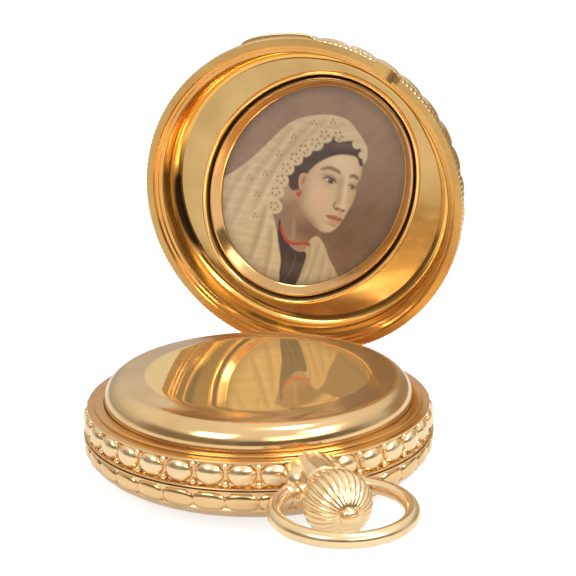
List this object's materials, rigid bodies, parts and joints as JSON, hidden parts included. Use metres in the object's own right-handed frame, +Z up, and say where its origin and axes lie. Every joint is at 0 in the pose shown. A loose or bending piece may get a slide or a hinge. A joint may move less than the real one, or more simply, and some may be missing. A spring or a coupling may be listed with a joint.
{
  "type": "pocket watch",
  "caption": "Small gold hunting-case pocket watch with its back cover open on an oval portrait, polished inner lid, fluted crown and bow.",
  "frame": {"origin": "centre of the flat resting spot under the front cover, on the case's axis", "axes": "+Z up along the case's axis towards the inner lid; the pendant, crown and bow point along -Y; the dial looks down with 3 o'clock at -Y and 6 o'clock at +X"},
  "size_m": [0.0408, 0.0558, 0.0409],
  "materials": {
    "exterior_gold": "polished pale gold",
    "inner_gold": "mirror-polished warm gold",
    "picture": "fired enamel",
    "crystal": "polished",
    "steel": "fine brushed",
    "blued_steel": "blued and polished",
    "gilt_brass": "frosted gilt",
    "enamel": "white enamel",
    "ruby": "polished"
  },
  "bodies": {
    "case": {"case_band": "exterior_gold", "pendant_neck": "exterior_gold", "back_cover_hinge_pin": "exterior_gold", "inner_lid_hinge_pin": "exterior_gold", "front_cover_hinge_pin": "exterior_gold", "glass_bezel": "inner_gold", "front_glass": "crystal", "lift_spring": "steel", "lock_spring": "steel", "spring_screws": "blued_steel", "case_screws": "blued_steel", "main_plate": "gilt_brass", "dial": "enamel", "barrel_bridge": "gilt_brass", "train_bridge": "gilt_brass", "balance_cock": "gilt_brass", "pallet_bridge": "gilt_brass", "bridge_screws": "blued_steel", "wheel_screws": "blued_steel", "click_spring": "steel", "clutch_wheel": "steel", "setting_lever": "steel", "mainspring": "blued_steel", "hairspring": "blued_steel", "jewels": "ruby"},
    "back_cover": {"back_cover": "exterior_gold", "picture_plate": "inner_gold", "picture_collar": "inner_gold", "picture_bezel": "inner_gold", "picture_card": "picture"},
    "inner_lid": {"inner_lid": "inner_gold"},
    "front_cover": {"front_cover": "exterior_gold"},
    "bow": {"bow": "exterior_gold"},
    "push_sleeve": {"push_sleeve": "steel"},
    "crown": {"crown": "exterior_gold", "winding_stem": "steel"},
    "winding_pinion": {"winding_pinion": "steel"},
    "crown_wheel": {"crown_wheel": "steel"},
    "ratchet": {"ratchet_wheel": "steel", "barrel_arbor": "steel"},
    "centre_wheel": {"centre_wheel": "gilt_brass", "cannon_pinion": "steel", "minute_hand": "blued_steel"},
    "barrel": {"mainspring_barrel": "gilt_brass", "barrel_cover": "gilt_brass"},
    "third_wheel": {"third_wheel": "gilt_brass"},
    "fourth_wheel": {"fourth_wheel": "gilt_brass", "second_hand": "blued_steel"},
    "escape_wheel": {"escape_wheel": "steel"},
    "minute_wheel": {"minute_wheel": "gilt_brass"},
    "hour_wheel": {"hour_wheel": "gilt_brass", "hour_hand": "blued_steel"},
    "pallet_lever": {"pallet_lever": "steel"},
    "balance": {"balance_wheel": "gilt_brass"},
    "regulator": {"regulator": "steel"},
    "click": {"click": "steel"}
  },
  "joints": [
    {"name": "back_cover_hinge", "type": "hinge", "parent": "case", "child": "back_cover", "pos_m": [0.0092, 0.01364, 0.00707], "axis": [-0.829, 0.5592, 0], "range_deg": [-84.4, 8]},
    {"name": "inner_lid_hinge", "type": "hinge", "parent": "case", "child": "inner_lid", "pos_m": [0.00862, 0.01277, 0.0073], "axis": [-0.829, 0.5592, 0], "range_deg": [0, 75]},
    {"name": "front_cover_hinge", "type": "hinge", "parent": "case", "child": "front_cover", "pos_m": [0, 0.01645, 0.00433], "axis": [1, 0, 0], "range_deg": [0, 90]},
    {"name": "bow_pivot", "type": "hinge", "parent": "case", "child": "bow", "pos_m": [0, -0.0202, 0.00565], "axis": [1, 0, 0], "range_deg": [-85, 85]},
    {"name": "crown_slide", "type": "slide", "parent": "case", "child": "push_sleeve", "axis": [0, -1, 0], "range_m": [-0.0004, 0.0006]},
    {"name": "crown_turn", "type": "hinge", "parent": "push_sleeve", "child": "crown", "pos_m": [0, -0.022, 0.00565], "axis": [0, -1, 0], "continuous": true},
    {"name": "winding_pinion_turn", "type": "hinge", "parent": "case", "child": "winding_pinion", "pos_m": [0, -0.01014, 0.00565], "axis": [0, -1, 0], "continuous": true},
    {"name": "crown_wheel_turn", "type": "hinge", "parent": "case", "child": "crown_wheel", "pos_m": [0, -0.00769, 0.0081], "axis": [0, 0, 1], "continuous": true},
    {"name": "ratchet_turn", "type": "hinge", "parent": "case", "child": "ratchet", "pos_m": [-0.00612, -0.00223, 0.0081], "axis": [0, 0, 1], "continuous": true},
    {"name": "centre_turn", "type": "hinge", "parent": "case", "child": "centre_wheel", "pos_m": [0, 0, 0.0052], "axis": [0, 0, 1], "continuous": true},
    {"name": "barrel_turn", "type": "hinge", "parent": "case", "child": "barrel", "pos_m": [-0.00612, -0.00223, 0.006], "axis": [0, 0, 1], "continuous": true},
    {"name": "third_turn", "type": "hinge", "parent": "case", "child": "third_wheel", "pos_m": [0.00355, -0.00331, 0.006], "axis": [0, 0, 1], "continuous": true},
    {"name": "fourth_turn", "type": "hinge", "parent": "case", "child": "fourth_wheel", "pos_m": [0.00593, 0, 0.006], "axis": [0, 0, 1], "continuous": true},
    {"name": "escape_turn", "type": "hinge", "parent": "case", "child": "escape_wheel", "pos_m": [0.00803, 0.00276, 0.006], "axis": [0, 0, 1], "continuous": true},
    {"name": "minute_wheel_turn", "type": "hinge", "parent": "case", "child": "minute_wheel", "pos_m": [-0.0017, 0.0017, 0.004], "axis": [0, 0, 1], "continuous": true},
    {"name": "hour_turn", "type": "hinge", "parent": "case", "child": "hour_wheel", "pos_m": [0, 0, 0.0035], "axis": [0, 0, 1], "continuous": true},
    {"name": "pallet_swing", "type": "hinge", "parent": "case", "child": "pallet_lever", "pos_m": [0.00619, 0.0043, 0.0063], "axis": [0, 0, 1], "range_deg": [-5, 5]},
    {"name": "balance_swing", "type": "hinge", "parent": "case", "child": "balance", "pos_m": [0.00367, 0.00642, 0.007], "axis": [0, 0, 1], "range_deg": [-270, 270]},
    {"name": "regulator_turn", "type": "hinge", "parent": "case", "child": "regulator", "pos_m": [0.00367, 0.00642, 0.0086], "axis": [0, 0, 1], "range_deg": [-20, 20]},
    {"name": "click_swing", "type": "hinge", "parent": "case", "child": "click", "pos_m": [-0.0073, 0.00447, 0.0081], "axis": [0, 0, 1], "range_deg": [-6, 0]}
  ],
  "couplings": [
    {"joint": "winding_pinion_turn", "follows": "crown_turn", "ratio": 1},
    {"joint": "crown_wheel_turn", "follows": "crown_turn", "ratio": 0.57143},
    {"joint": "ratchet_turn", "follows": "crown_turn", "ratio": -0.2963},
    {"joint": "centre_turn", "follows": "fourth_turn", "ratio": 0.016667},
    {"joint": "barrel_turn", "follows": "fourth_turn", "ratio": -0.0027778},
    {"joint": "third_turn", "follows": "fourth_turn", "ratio": -0.13333},
    {"joint": "escape_turn", "follows": "fourth_turn", "ratio": -10},
    {"joint": "minute_wheel_turn", "follows": "fourth_turn", "ratio": -0.0055556},
    {"joint": "hour_turn", "follows": "fourth_turn", "ratio": 0.0013889}
  ]
}
